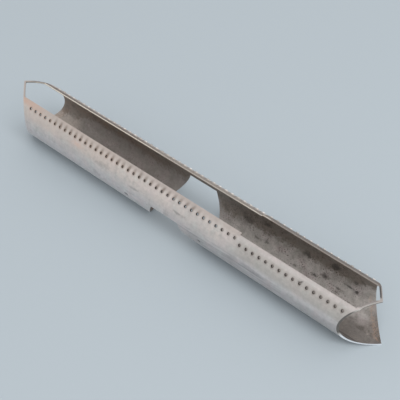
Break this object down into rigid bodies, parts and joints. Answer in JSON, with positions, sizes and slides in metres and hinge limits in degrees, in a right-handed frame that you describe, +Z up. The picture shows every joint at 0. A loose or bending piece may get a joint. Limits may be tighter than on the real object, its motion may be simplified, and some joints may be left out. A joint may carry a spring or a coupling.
{
  "type": "slotted gas burner tube",
  "caption": "Long round burner tube of thin stainless sheet with a full-length top slot, a row of small flame ports along each side, pointed ends with narrow bridges, and an opening underneath.",
  "frame": {"origin": "on the tube's axis, midway between the two end points; this is the centre of the bounding box", "axes": "+X along the tube towards the short section, +Z up through the middle of the slot, +Y towards the far rim"},
  "size_m": [0.365, 0.045, 0.045],
  "materials": {
    "long_section_steel": "satin, scratched, with faint heat tint and soot inside",
    "short_section_steel": "satin, scratched, with more soot inside",
    "weld_steel": "dull weld metal, dressed flush outside"
  },
  "bodies": {
    "root": {"long_section": "long_section_steel", "short_section": "short_section_steel", "seam_weld": "weld_steel", "long_bridge_weld": "weld_steel", "short_bridge_weld": "weld_steel"}
  },
  "joints": []
}
